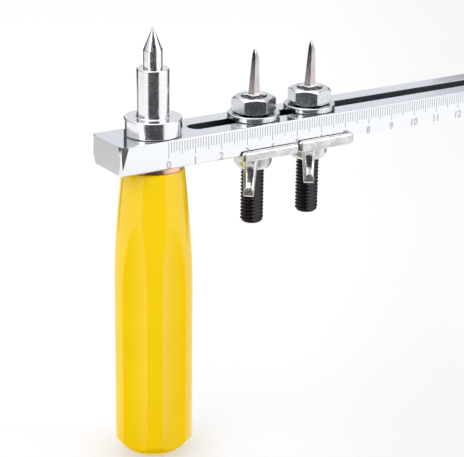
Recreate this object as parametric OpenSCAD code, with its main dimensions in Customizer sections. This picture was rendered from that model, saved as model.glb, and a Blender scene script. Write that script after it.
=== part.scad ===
// Gasket cutter. A slotted bar swings round the spindle of a fluted handle and carries two
// knife holders. The foot of the handle is the origin, the spindle stands on +Z, and the bar
// runs along +X with its scale side towards -Y. All sizes are in millimetres.

/* [Grip] */
// Length of the grip from its foot to its top face
grip_len = 102.4; // [90:0.1:130]
// Largest diameter of the grip
grip_d = 27.4; // [25:0.1:34]
// Diameter of the grip's top face
neck_d = 20.7; // [19.5:0.1:24]
// Length from the top face down to where the grip starts to taper
taper_len = 43; // [38:0.5:60]
// Lower part of that length, where the taper rounds into the straight grip
taper_blend = 19; // [8:0.5:30]
// Height of the domed end
dome_h = 6.8; // [3:0.1:10]
// Diameter of the flat foot on the domed end
foot_d = 12; // [6:0.5:18]
// Number of finger flutes round the grip
flute_count = 6; // [4:1:8]
// Radius of a flute's hollow
flute_r = 12; // [8:0.5:18]
// Depth of a flute at its middle
flute_depth = 1.7; // [0.6:0.05:2.4]
// Turn of the flutes round the grip, in degrees
flute_turn = 2; // [0:1:60]
// Width across the flats of the bush moulded into the grip
bush_flats = 13; // [12:0.1:15]
// Length of that bush
bush_len = 28; // [26:0.5:40]

/* [Spindle] */
// Diameter of the flange that holds the bar down
flange_d = 19; // [15:0.1:24]
// Height of the flange
flange_h = 5.7; // [3:0.1:9]
// Diameter of the post above the flange
post_d = 10.6; // [9:0.1:14]
// Height of the post above the flange
post_h = 16; // [14:0.5:26]
// Chamfer on the flange and on the post
turned_edge = 0.4; // [0.2:0.05:0.8]
// Diameter of the journal that the bar swings on
journal_d = 10; // [9:0.1:11]
// Outside diameter of the thread that screws into the bush
shank_d = 7.9; // [6:0.1:8.4]
// Length of that thread
shank_len = 24; // [14:0.5:25]
// Diameter of the centre point
point_d = 6.2; // [5.4:0.1:8]
// Height of the point's straight part
point_h = 5.9; // [3:0.1:10]
// Height of the point's cone
cone_h = 7.5; // [4:0.1:12]
// Diameter of the point's root in the post
root_d = 4.8; // [3:0.1:5.2]
// Length of the point's root in the post
root_len = 10; // [5:0.5:13]

/* [Bar] */
// Width of the bar, across the slot
bar_w = 20; // [18:0.5:28]
// Height of the bar
bar_h = 9.5; // [7:0.1:12]
// Length of the bar from the spindle's axis to its near end
bar_tail = 17.1; // [14:0.1:26]
// Length of the bar from the spindle's axis to its far end
bar_reach = 172; // [150:1:260]
// Chamfer along the bar's long edges
bar_edge = 0.4; // [0.2:0.05:0.8]
// Diameter of the turned face on each end of the bar
end_face_d = 17.8; // [15:0.1:19]
// Angle that each end is turned back by, outside that face
end_angle = 15; // [8:1:45]
// Width of the slot
slot_w = 6.6; // [5.6:0.1:7]
// Distance from the spindle's axis to the slot's near end
slot_near = 13.4; // [12:0.1:18]
// Distance from the slot's far end to the bar's far end
slot_far = 15; // [10:0.5:24]
// Outside diameter of the thrust washer
thrust_d = 20.2; // [18:0.1:24]
// Thickness of the thrust washer
thrust_t = 1.6; // [0.6:0.1:2.4]

/* [Knife holders] */
// Distance from the spindle's axis to the first holder
holder_1_x = 38.9; // [36:0.1:60]
// Gap between the two holders' shoes
holder_gap = 0.4; // [0.3:0.1:40]
// Outside diameter of a stud's thread
stud_d = 7.9; // [7:0.1:8.4]
// Pitch of the threads
pitch = 1.25; // [0.8:0.05:1.5]
// Depth of the threads
thread_depth = 0.7; // [0.4:0.05:0.8]
// Height of a stud above the bar
stud_rise = 6.7; // [4:0.1:7.4]
// Length of a stud below the bar
stud_drop = 27.3; // [18:0.1:36]
// Chamfer on a stud's lower end
stud_edge = 0.9; // [0.4:0.1:1.4]
// Diameter of the washer on the bar
washer_d = 17.8; // [15:0.1:19]
// Thickness of that washer
washer_t = 1.9; // [1:0.1:3]
// Chamfer round that washer
washer_edge = 0.35; // [0.1:0.05:0.4]
// Width across the flats of the hexagon nut
nut_flats = 13; // [12:0.1:15]
// Height of the hexagon nut
nut_h = 5.5; // [4:0.1:7]
// Diameter of the flat left inside a nut's chamfers
nut_face_d = 12.2; // [11:0.1:12.6]
// Width of the countersink in a nut's bore
nut_sink = 0.5; // [0.2:0.1:0.8]
// Turn of the first hexagon nut on its stud, in degrees
nut_turn_1 = 32; // [0:1:60]
// Turn of the second hexagon nut on its stud, in degrees
nut_turn_2 = 16; // [0:1:60]

/* [Knives] */
// Width of a knife's square root
knife_w = 2.8; // [2:0.1:3]
// Length of a knife above its hexagon nut
knife_len = 16.2; // [10:0.1:24]
// Length of a knife's root in its stud
knife_root = 9; // [5:0.5:14]
// Length of a knife's rounded tip
tip_len = 3.6; // [2:0.1:5]
// Share of its width that a knife loses below the tip
knife_waste = 0.38; // [0.2:0.01:0.6]
// Share of its half diagonal by which a knife's middle moves over below the tip
knife_set = 0.13; // [0:0.01:0.4]
// Turn of that side of a knife round its stud, in degrees
knife_turn = -33; // [-90:1:90]

/* [Shoes and wing nuts] */
// Length of a guide shoe along the bar
shoe_len = 22.4; // [20:0.1:30]
// Thickness of a shoe's plate under the bar
shoe_plate = 2.1; // [1.5:0.1:4]
// Height of the first shoe's lips up the bar's sides
lip_h_1 = 1.5; // [1:0.1:4]
// Height of the second shoe's lips
lip_h_2 = 2; // [1:0.1:4]
// Thickness of a shoe's lips
lip_t = 1.4; // [1:0.1:3]
// Chamfer on a shoe's corners
shoe_edge = 0.9; // [0.3:0.1:0.95]
// Chamfer on top of a lip
lip_edge = 0.5; // [0.2:0.1:0.8]
// Diameter of a wing nut's hub against its shoe
hub_d = 13.4; // [12:0.1:19]
// Diameter of the flat on the hub's lower end
hub_end_d = 9.8; // [9.4:0.1:11.4]
// Height of the hub
hub_h = 5.6; // [4:0.1:9]
// Height of the rounding at the hub's lower end
hub_round = 2.4; // [1:0.1:3.4]
// Draft of the hub's sides above that rounding
hub_draft = 0.2; // [0:0.1:0.6]
// Reach of a wing from the stud's axis
wing_reach = 11.2; // [10:0.1:11.4]
// Height of the first wing nut from its shoe to its wings' tips
wing_h_1 = 13.2; // [11:0.1:18]
// Height of the second wing nut
wing_h_2 = 12.1; // [11:0.1:18]
// Width of a wing's tip, along its reach
wing_tip = 3.2; // [2:0.1:4]
// Thickness of a wing at the hub
wing_root_t = 4.8; // [3:0.1:6]
// Thickness of a wing at its tip
wing_tip_t = 3.4; // [2:0.1:4]
// Distance from the stud's axis to a wing's outer edge at the hub
wing_start = 8; // [7:0.1:9]
// Chamfer on a wing's tip
wing_edge = 0.7; // [0.2:0.1:0.9]
// Direction of the first wing nut's front wing, in degrees
wing_turn_1 = -130; // [-180:1:0]
// Direction of the second wing nut's front wing, in degrees
wing_turn_2 = -122; // [-180:1:0]

/* [Clearances] */
// Play of the bar under the flange
bar_play = 0.1; // [0.05:0.05:0.4]
// Clearance round the journal
journal_gap = 0.05; // [0.02:0.01:0.1]
// Clearance round a part that is pressed or screwed home for good
press_gap = 0.02; // [0.01:0.01:0.05]
// Clearance round a thread in its nut or bush
thread_gap = 0.06; // [0.02:0.01:0.1]
// Clearance at each flat of a stud in the slot
slot_gap = 0.1; // [0.05:0.05:0.3]
// Clearance round a stud or journal in a plain washer or shoe
hole_gap = 0.3; // [0.2:0.05:0.6]
// Clearance between a shoe's lips and the bar's sides
lip_gap = 0.2; // [0.15:0.05:0.5]

/* [Hidden] */
$fn = 96;
cut = 1;

// Heights up the spindle's axis
bar_base = grip_len + thrust_t;
bar_top = bar_base + bar_h;
flange_base = bar_top + bar_play;
flange_top = flange_base + flange_h;
post_top = flange_top + post_h;

// Grip: the taper is a parabola that runs on into a straight cone
grip_r = grip_d / 2;
taper_base = grip_len - taper_len;
taper_cone = taper_len - taper_blend;
taper_rate = (grip_r - neck_d / 2) / (taper_blend * (taper_blend + 2 * taper_cone));
taper_steps = 8;
function taper_r(h) = grip_r - taper_rate * (h < taper_blend
    ? h * h : taper_blend * (2 * h - taper_blend));

// Grip: the dome's sphere passes through the foot's edge and the grip's lower edge
dome_z = (grip_r * grip_r - foot_d * foot_d / 4 + dome_h * dome_h) / (2 * dome_h);
dome_r = norm([foot_d / 2, dome_z]);

// Bar: the ends are turned about the bar's own axis
bar_len = bar_tail + bar_reach;
bar_corner_r = norm([bar_w, bar_h]) / 2 + cut;
end_cone = (bar_corner_r - end_face_d / 2) * tan(end_angle);
slot_far_x = bar_reach - slot_far;

// Holders: the second stands one shoe and one gap further out
holder_2_x = holder_1_x + shoe_len + holder_gap;
stud_len = stud_rise + bar_h + stud_drop;
stud_flats = slot_w - 2 * slot_gap;
nut_base = washer_t;
nut_top = nut_base + nut_h;
nut_bore = stud_d / 2 + thread_gap;
stud_hole = stud_d / 2 + hole_gap;

// Shoes and wing nuts
shoe_w = bar_w + 2 * (lip_gap + lip_t);
// A wing's outer edge is an arc that leaves the hub upright and reaches out to the tip
wing_flare = wing_reach - wing_start;
function flare_r(fall) = (fall * fall + wing_flare * wing_flare) / (2 * wing_flare);

module at_holder(x) {
    translate([x, 0, bar_top]) children();
}

module under_shoe(x) {
    translate([x, 0, bar_base - shoe_plate]) children();
}

// A screw thread drawn as rings, from z = 0 up to the given length
module thread(d, length) {
    crest = d / 2;
    core = crest - thread_depth;
    turns = floor(length / pitch) - 1;
    rings = [for (i = [0:turns]) each [
        [core, i * pitch + pitch / 16],
        [crest, (i + 0.5) * pitch - pitch / 16],
        [crest, (i + 0.5) * pitch + pitch / 16],
        [core, (i + 1) * pitch - pitch / 16]]];
    rotate_extrude()
        polygon(concat([[0, 0], [core, 0]], rings, [[core, length], [0, length]]));
}

// A disc with both outer edges chamfered, from z = 0 up
module disc(d, height, edge) {
    rotate_extrude()
        polygon([[0, 0], [d / 2 - edge, 0], [d / 2, edge], [d / 2, height - edge],
            [d / 2 - edge, height], [0, height]]);
}

module grip_outline() {
    intersection() {
        translate([0, dome_z]) circle(dome_r);
        square([grip_r, dome_h]);
    }
    polygon(concat([[0, dome_h], [grip_r, dome_h]],
        [for (i = [0:taper_steps])
            let (h = taper_blend * i / taper_steps) [taper_r(h), taper_base + h]],
        [[neck_d / 2, grip_len], [0, grip_len]]));
}

module handle_grip() {
    color("#f5d000") rotate(flute_turn) difference() {
        rotate_extrude() grip_outline();
        for (i = [0:flute_count - 1])
            rotate(360 * i / flute_count - 90)
                translate([grip_r - flute_depth + flute_r, 0, -cut])
                    cylinder(r = flute_r, h = grip_len);
        translate([0, 0, grip_len - bush_len])
            hexagon(bush_flats + 2 * press_gap, bush_len + cut);
    }
}

module hexagon(flats, height) {
    cylinder(d = flats / cos(30), h = height, $fn = 6);
}

module handle_bush() {
    color("#c9a84c") rotate(flute_turn) translate([0, 0, grip_len - bush_len]) difference() {
        hexagon(bush_flats, bush_len);
        translate([0, 0, -cut]) cylinder(r = shank_d / 2 + thread_gap, h = bush_len + 2 * cut);
    }
}

module thrust_washer() {
    color("#c77a45") translate([0, 0, grip_len]) difference() {
        cylinder(d = thrust_d, h = thrust_t);
        translate([0, 0, -cut]) cylinder(r = journal_d / 2 + hole_gap, h = thrust_t + 2 * cut);
    }
}

module spindle() {
    color("#dfe3e8") {
        translate([0, 0, grip_len - shank_len]) thread(shank_d, shank_len);
        translate([0, 0, grip_len]) cylinder(d = journal_d, h = flange_base - grip_len);
        translate([0, 0, flange_base]) disc(flange_d, flange_h, turned_edge);
        translate([0, 0, flange_top]) difference() {
            rotate_extrude()
                polygon([[0, 0], [post_d / 2, 0], [post_d / 2, post_h - turned_edge],
                    [post_d / 2 - turned_edge, post_h], [0, post_h]]);
            translate([0, 0, post_h - root_len])
                cylinder(d = root_d + 2 * press_gap, h = root_len + cut);
        }
    }
}

module centre_point() {
    color("#dfe3e8") translate([0, 0, post_top]) {
        translate([0, 0, -root_len]) cylinder(d = root_d, h = root_len);
        cylinder(d = point_d, h = point_h);
        translate([0, 0, point_h]) cylinder(d1 = point_d, d2 = 0, h = cone_h);
    }
}

module bar_section() {
    y = bar_w / 2;
    z = bar_h / 2;
    polygon([[-y + bar_edge, -z], [y - bar_edge, -z], [y, -z + bar_edge], [y, z - bar_edge],
        [y - bar_edge, z], [-y + bar_edge, z], [-y, z - bar_edge], [-y, -z + bar_edge]]);
}

module turned_ends() {
    rotate_extrude()
        polygon([[0, 0], [end_face_d / 2, 0], [bar_corner_r, end_cone],
            [bar_corner_r, bar_len - end_cone], [end_face_d / 2, bar_len], [0, bar_len]]);
}

module slot_outline() {
    for (x = [slot_near + slot_w / 2, slot_far_x - slot_w / 2])
        translate([x, 0]) circle(d = slot_w);
    translate([slot_near + slot_w / 2, -slot_w / 2])
        square([slot_far_x - slot_near - slot_w, slot_w]);
}

module beam() {
    color("#d8dee6") difference() {
        translate([-bar_tail, 0, bar_base + bar_h / 2]) intersection() {
            rotate([90, 0, 90]) linear_extrude(bar_len) bar_section();
            rotate([0, 90, 0]) turned_ends();
        }
        translate([0, 0, bar_base - cut]) {
            linear_extrude(bar_h + 2 * cut) slot_outline();
            cylinder(r = journal_d / 2 + journal_gap, h = bar_h + 2 * cut);
        }
    }
}

module stud(x) {
    color("#2e2b2f") at_holder(x) translate([0, 0, stud_rise - stud_len]) difference() {
        intersection() {
            thread(stud_d, stud_len);
            translate([-stud_d, -stud_flats / 2, 0]) cube([2 * stud_d, stud_flats, stud_len]);
            cylinder(r1 = stud_d / 2 - stud_edge, r2 = stud_d / 2 - stud_edge + stud_len,
                h = stud_len);
        }
        rotate(45 + knife_turn) translate([0, 0, stud_len - knife_root])
            linear_extrude(knife_root + cut) square(knife_w + 2 * press_gap, center = true);
    }
}

// Knife: each station is a square with one corner on the local +X axis, given as its height,
// the shift of its centre towards that corner and half its diagonal
knife_half = knife_w / sqrt(2);
tip_steps = [0, 0.3, 0.55, 0.75, 0.9, 0.985];
knife_stations = concat(
    [[stud_rise - knife_root, 0, 1], [nut_top, 0, 1]],
    [for (t = tip_steps) [nut_top + knife_len - tip_len * (1 - t),
        knife_set * (1 - t), (1 - knife_waste) * sqrt(1 - t)]]);

module knife(x) {
    last = len(knife_stations) - 1;
    points = [for (s = knife_stations, k = [0:3])
        [(s[1] + s[2] * cos(90 * k)) * knife_half, s[2] * sin(90 * k) * knife_half, s[0]]];
    sides = [for (i = [0:last - 1], k = [0:3])
        let (n = (k + 1) % 4) [4 * i + k, 4 * i + 4 + k, 4 * i + 4 + n, 4 * i + n]];
    color("#a39d9c") at_holder(x) rotate(knife_turn)
        polyhedron(points, concat([[0, 1, 2, 3]], sides, [[for (k = [3:-1:0]) 4 * last + k]]));
}

module washer(x) {
    color("#c4c9cf") at_holder(x) difference() {
        disc(washer_d, washer_t, washer_edge);
        translate([0, 0, -cut]) cylinder(r = stud_hole, h = washer_t + 2 * cut);
    }
}

module hex_nut(x, turn) {
    // A cone at 30 degrees to the nut's flat faces takes its corners off
    outside_r = nut_flats / 2 / cos(30) + cut;
    fall = (outside_r - nut_face_d / 2) * tan(30);
    color("#9aa1ab") at_holder(x) translate([0, 0, nut_base]) rotate(turn) difference() {
        intersection() {
            hexagon(nut_flats, nut_h);
            rotate_extrude()
                polygon([[0, 0], [nut_face_d / 2, 0], [outside_r, fall],
                    [outside_r, nut_h - fall], [nut_face_d / 2, nut_h], [0, nut_h]]);
        }
        translate([0, 0, -cut]) cylinder(r = nut_bore, h = nut_h + 2 * cut);
        translate([0, 0, nut_h - nut_sink])
            cylinder(r1 = nut_bore, r2 = nut_bore + nut_sink + cut, h = nut_sink + cut);
    }
}

module shoe_section(lip_h) {
    inner = bar_w / 2 + lip_gap;
    outer = inner + lip_t;
    polygon([[-outer + shoe_edge, -shoe_plate], [outer - shoe_edge, -shoe_plate],
        [outer, -shoe_plate + shoe_edge], [outer, lip_h - lip_edge], [outer - lip_edge, lip_h],
        [inner, lip_h], [inner, 0], [-inner, 0], [-inner, lip_h], [-outer + lip_edge, lip_h],
        [-outer, lip_h - lip_edge], [-outer, -shoe_plate + shoe_edge]]);
}

module shoe_plan() {
    x = shoe_len / 2;
    y = shoe_w / 2;
    polygon([[-x + shoe_edge, -y], [x - shoe_edge, -y], [x, -y + shoe_edge],
        [x, y - shoe_edge], [x - shoe_edge, y], [-x + shoe_edge, y], [-x, y - shoe_edge],
        [-x, -y + shoe_edge]]);
}

module guide_shoe(x, lip_h) {
    color("#d9d9d2") translate([x, 0, bar_base]) difference() {
        intersection() {
            translate([-shoe_len / 2, 0, 0]) rotate([90, 0, 90])
                linear_extrude(shoe_len) shoe_section(lip_h);
            translate([0, 0, -shoe_plate]) linear_extrude(shoe_plate + lip_h) shoe_plan();
        }
        translate([0, 0, -shoe_plate - cut]) cylinder(r = stud_hole, h = shoe_plate + 2 * cut);
    }
}

// One wing, seen from the side: distance from the axis across, height up
module wing_outline(height) {
    inside = nut_bore + (hub_end_d / 2 - nut_bore) / 2;
    difference() {
        polygon([[inside, 0], [wing_reach, 0], [wing_reach, wing_edge - height],
            [wing_reach - wing_edge, -height], [wing_reach - wing_tip + wing_edge, -height],
            [wing_reach - wing_tip, wing_edge - height], [hub_end_d / 2, -hub_h],
            [inside, -hub_h]]);
        translate([wing_start + flare_r(height - wing_tip), 0])
            circle(flare_r(height - wing_tip));
    }
}

// The same wing, seen along its reach
module wing_thickness(height) {
    polygon([[-wing_root_t / 2, 0], [-wing_tip_t / 2, -height], [wing_tip_t / 2, -height],
        [wing_root_t / 2, 0]]);
}

// The hub under its shoe: nearly straight sides, with a quarter of an ellipse below them
module wing_hub() {
    steps = 5;
    end_r = hub_end_d / 2;
    side_r = hub_d / 2 - hub_draft;
    rotate_extrude()
        polygon(concat([[0, 0], [0, -hub_h]],
            [for (i = [0:steps]) let (a = 90 * i / steps)
                [end_r + (side_r - end_r) * sin(a), -hub_h + hub_round * (1 - cos(a))]],
            [[hub_d / 2, 0]]));
}

module wing_nut(x, turn, height) {
    color("#d9d9d2") under_shoe(x) difference() {
        union() {
            wing_hub();
            for (side = [0, 180])
                rotate(turn + side) intersection() {
                    translate([0, wing_root_t / 2, 0]) rotate([90, 0, 0])
                        linear_extrude(wing_root_t) wing_outline(height);
                    rotate([90, 0, 90]) linear_extrude(wing_reach) wing_thickness(height);
                }
        }
        translate([0, 0, -height]) cylinder(r = nut_bore, h = height + cut);
    }
}

handle_grip();
handle_bush();
thrust_washer();
spindle();
centre_point();
beam();
stud(holder_1_x);  // stud_1
knife(holder_1_x);  // knife_1
washer(holder_1_x);  // washer_1
hex_nut(holder_1_x, nut_turn_1);  // hex_nut_1
guide_shoe(holder_1_x, lip_h_1);  // guide_shoe_1
wing_nut(holder_1_x, wing_turn_1, wing_h_1);  // wing_nut_1
stud(holder_2_x);  // stud_2
knife(holder_2_x);  // knife_2
washer(holder_2_x);  // washer_2
hex_nut(holder_2_x, nut_turn_2);  // hex_nut_2
guide_shoe(holder_2_x, lip_h_2);  // guide_shoe_2
wing_nut(holder_2_x, wing_turn_2, wing_h_2);  // wing_nut_2
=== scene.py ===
import math

import bpy
from mathutils import Matrix, Vector


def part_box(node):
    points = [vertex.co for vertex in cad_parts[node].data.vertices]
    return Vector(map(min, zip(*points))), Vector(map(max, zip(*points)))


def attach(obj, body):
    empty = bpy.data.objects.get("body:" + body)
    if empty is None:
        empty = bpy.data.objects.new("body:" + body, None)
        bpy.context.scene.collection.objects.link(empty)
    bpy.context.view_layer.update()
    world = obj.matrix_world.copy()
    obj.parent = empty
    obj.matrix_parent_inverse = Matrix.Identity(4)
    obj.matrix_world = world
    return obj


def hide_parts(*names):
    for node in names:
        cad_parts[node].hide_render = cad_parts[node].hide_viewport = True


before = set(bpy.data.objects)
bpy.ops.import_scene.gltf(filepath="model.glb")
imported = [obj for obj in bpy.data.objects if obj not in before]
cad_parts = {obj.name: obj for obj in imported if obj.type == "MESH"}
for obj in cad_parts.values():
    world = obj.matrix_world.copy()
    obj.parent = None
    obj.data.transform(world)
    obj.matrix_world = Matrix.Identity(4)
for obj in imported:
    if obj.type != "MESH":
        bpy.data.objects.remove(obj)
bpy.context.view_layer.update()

MM = 0.001

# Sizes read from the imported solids
bar_low, bar_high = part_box("beam")
grip_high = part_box("handle_grip")[1]
thrust_low, thrust_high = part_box("thrust_washer")
spindle_low, spindle_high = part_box("spindle")
point_low, point_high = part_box("centre_point")
bar_middle = (bar_low.z + bar_high.z) / 2
bar_length = bar_high.x - bar_low.x

# Grip: a domed foot, a straight body, and a taper that bends in and ends at the neck
GRIP_TAPER = 43 * MM
GRIP_BLEND = 19 * MM
GRIP_NECK_R = 10.35 * MM
GRIP_DOME = 6.8 * MM
GRIP_FOOT_R = 6 * MM
GRIP_EDGE = 0.6 * MM
GRIP_STEPS = 480
DOME_ROWS = 10
BODY_ROWS = 110
FLUTES = 6
FLUTE_R = 12 * MM
FLUTE_DEPTH = 1.7 * MM
FLUTE_TURN = math.radians(2)
FLUTE_SOFTNESS = 0.15 * MM

# Spindle, point and copper washer
FLANGE_R = 9.5 * MM
FLANGE_H = 5.7 * MM
POST_R = 5.3 * MM
JOURNAL_R = 5 * MM
SHANK_R = 3.95 * MM
TURNED_EDGE = 0.4 * MM
BAR_PLAY = 0.1 * MM
POINT_R = 3.1 * MM
POINT_STRAIGHT = 5.9 * MM
POINT_ROOT_R = 2.4 * MM
POINT_TIP_R = 0.12 * MM
POINT_TIP_H = 0.1 * MM
POINT_EDGE = 0.12 * MM
THRUST_PLAY = 0.3 * MM
THRUST_EDGE = 0.2 * MM

# Bar and scale: the near corner is worn back further at its top than at its foot
BAR_EDGE = 0.4 * MM
BORE_PLAY = 0.05 * MM
END_FACE_R = 8.9 * MM
END_ANGLE = math.radians(15)
WORN_TOP = 0.56 * MM
WORN_FOOT = -0.14 * MM
WORN_TURN = math.radians(-106)
SLOT_W = 6.6 * MM
SLOT_NEAR = 13.4 * MM
SLOT_FAR = 15 * MM
SLOT_EDGE = 0.2 * MM
SCALE_CM = 15
TICK_TOP = 0.4 * MM
TICK_W = 0.24 * MM
TICK_LENGTHS = (5.4 * MM, 4.6 * MM, 3.5 * MM)
PRINT_PROUD = 0.012 * MM
PRINT_SUNK = 0.02 * MM
NUMERAL_H = 2.4 * MM
NUMERAL_RISE = 0.35 * MM
NUMERAL_BOLD = 0.1 * MM
NUMERAL_CAP = 0.7
# With finer curves the digits 6 and 9 fail to fill at this boldness
NUMERAL_CURVES = 4

# Knife holders
STUD_R = 3.95 * MM
STUD_EDGE = 0.9 * MM
THREAD_DEPTH = 0.7 * MM
THREAD_STEPS = 72
PITCH = 1.25 * MM
NUT_FLATS = 13 * MM
NUT_FACE_R = 6.1 * MM
NUT_BORE = 4.01 * MM
NUT_SINK = 0.5 * MM
NUT_EDGE = 0.32 * MM
NUT_CHAMFER = math.radians(30)
NUT_STEPS = 144
HOLE_R = 4.25 * MM
WASHER_EDGE = 0.4 * MM
# Room that a washer or a shoe keeps from the bar, so that no two faces share a plane
SEAT_GAP = 0.02 * MM
KNIFE_W = 2.8 * MM
KNIFE_TIP = 3.6 * MM
KNIFE_EDGE = 0.16 * MM
KNIFE_TURN = math.radians(-33)
# Shares of the knife's half diagonal: how far grinding narrows the blade and sets it aside
KNIFE_TAPER = 0.38
KNIFE_SET = 0.13
# Two stations close to the ends of the blade's flats keep their shading flat
BLADE_STATIONS = (0.02, 0.97)
# Stations draw closer towards the end of the tip, where its outline bends most
TIP_STATIONS = (0, 0.15, 0.3, 0.45, 0.6, 0.72, 0.82, 0.9, 0.96, 0.985)
LIP_GAP = 0.2 * MM
LIP_FLARE = 0.3 * MM
SHOE_ROUND = 1.1 * MM
HUB_R = 6.7 * MM
HUB_END_R = 4.9 * MM
HUB_H = 5.6 * MM
HUB_ROUND = 2.4 * MM
HUB_DRAFT = 0.2 * MM
HUB_STEPS = 8
WING_REACH = 11.2 * MM
WING_TIP = 3.2 * MM
WING_ROOT_T = 4.8 * MM
WING_TIP_T = 3.4 * MM
WING_START = 8 * MM
WING_EDGE = 0.7 * MM
WING_ROUND = 1.5 * MM
WING_STEPS = 12
WING_OVERLAP = 0.4 * MM
RUBBED_TOP = 1.5 * MM
RUBBED_FACING = 0.2
CAST_VOXEL = 0.16 * MM
CAST_SMOOTHING = 6
# Each holder has its own turn of its nut and of its wings
HOLDERS = {
    1: {"nut_turn": math.radians(32), "wing_turn": math.radians(-130)},
    2: {"nut_turn": math.radians(16), "wing_turn": math.radians(-122)},
}


def colour(hex_value):
    """An sRGB hex colour as linear red, green, blue and alpha."""
    channels = [int(hex_value[i:i + 2], 16) / 255 for i in (1, 3, 5)]
    linear = [c / 12.92 if c <= 0.04045 else ((c + 0.055) / 1.055) ** 2.4 for c in channels]
    return (*linear, 1.0)


def add(tree, kind, settings=None, **inputs):
    """Add a node, set its properties, and set or link its sockets, by name or as i0, i1."""
    made = tree.nodes.new(kind)
    for key, value in (settings or {}).items():
        setattr(made, key, value)
    for key, value in inputs.items():
        socket = made.inputs[int(key[1:]) if key[0] == "i" and key[1:].isdigit()
                             else key.replace("_", " ")]
        if isinstance(value, bpy.types.NodeSocket):
            tree.links.new(value, socket)
        else:
            socket.default_value = value
    return made


def new_material(name):
    """An empty material with its output, its shader and the object's own coordinates."""
    material = bpy.data.materials.new(name)
    material.use_nodes = True
    tree = material.node_tree
    tree.nodes.clear()
    shader = add(tree, "ShaderNodeBsdfPrincipled")
    add(tree, "ShaderNodeOutputMaterial", Surface=shader.outputs["BSDF"])
    place = add(tree, "ShaderNodeTexCoord").outputs["Object"]
    return material, tree, shader, place


# Materials

def yellow_plastic():
    """Polypropylene, moulded in a polished die: a clear gloss over a faint orange-peel."""
    material, tree, shader, place = new_material("moulded_yellow_plastic")
    mottle = add(tree, "ShaderNodeTexNoise", Vector=place, Scale=60.0, Detail=2.0)
    tint = add(tree, "ShaderNodeValToRGB", i0=mottle.outputs["Fac"])
    tint.color_ramp.elements[0].position = 0.3
    tint.color_ramp.elements[0].color = colour("#ecc400")
    tint.color_ramp.elements[1].position = 0.7
    tint.color_ramp.elements[1].color = colour("#f0c900")
    grain = add(tree, "ShaderNodeTexNoise", Vector=place, Scale=1 / (0.9 * MM), Detail=3.0)
    bump = add(tree, "ShaderNodeBump", Strength=0.035, Distance=0.1 * MM,
               Height=grain.outputs["Fac"])
    shader.inputs["Roughness"].default_value = 0.12
    shader.inputs["IOR"].default_value = 1.49
    tree.links.new(tint.outputs["Color"], shader.inputs["Base Color"])
    tree.links.new(bump.outputs["Normal"], shader.inputs["Normal"])
    return material


def stained(tree, tint, speck, deepest):
    """A colour, darkened in its specks, and in its corners by painted shade from ambient occlusion.
    """
    hidden = add(tree, "ShaderNodeAmbientOcclusion", Distance=1.2 * MM)
    corner = add(tree, "ShaderNodeMapRange", Value=hidden.outputs["AO"], From_Min=0.25,
                 From_Max=0.75, To_Min=deepest, To_Max=1.0)
    speck_and_shade = add(tree, "ShaderNodeMath", {"operation": "MULTIPLY"}, i0=speck,
                i1=corner.outputs["Result"])
    mixed = add(tree, "ShaderNodeMix", {"data_type": "RGBA", "blend_type": "MULTIPLY"},
                i0=1.0, i6=tint, i7=speck_and_shade.outputs["Value"])
    return mixed.outputs[2]


def metal(name, hex_value, roughness, streak, wear, ripple, stretch=(1, 1, 1), grain=0.0):
    """A bare or plated metal: streaks vary its roughness, by its wear, and its surface.

    A streak has a width, and is drawn out along an axis whose stretch is small. A metal with a
    grain is darker in its specks, and painted shade darkens its corners.
    """
    material, tree, shader, place = new_material(name)
    shader.inputs["Metallic"].default_value = 1.0
    shader.inputs["Base Color"].default_value = colour(hex_value)
    mapped = add(tree, "ShaderNodeMapping", Vector=place, Scale=stretch)
    noise = add(tree, "ShaderNodeTexNoise", Vector=mapped.outputs["Vector"],
                Scale=1 / streak, Detail=4.0, Roughness=0.6)
    spread = add(tree, "ShaderNodeMapRange", Value=noise.outputs["Fac"], From_Min=0.3,
                 From_Max=0.7, To_Min=max(roughness - wear, 0.02), To_Max=roughness + wear)
    bump = add(tree, "ShaderNodeBump", Strength=ripple, Distance=0.05 * MM,
               Height=noise.outputs["Fac"])
    if grain:
        speck = add(tree, "ShaderNodeMapRange", Value=noise.outputs["Fac"], From_Min=0.42,
                    From_Max=0.58, To_Min=1 - grain, To_Max=1.0)
        # The coarser the grain, the darker the painted shade in its corners
        corner_shade = 2.5 * grain
        shaded_tint = stained(tree, colour(hex_value), speck.outputs["Result"], 1 - corner_shade)
        tree.links.new(shaded_tint, shader.inputs["Base Color"])
    tree.links.new(spread.outputs["Result"], shader.inputs["Roughness"])
    tree.links.new(bump.outputs["Normal"], shader.inputs["Normal"])
    return material


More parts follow.
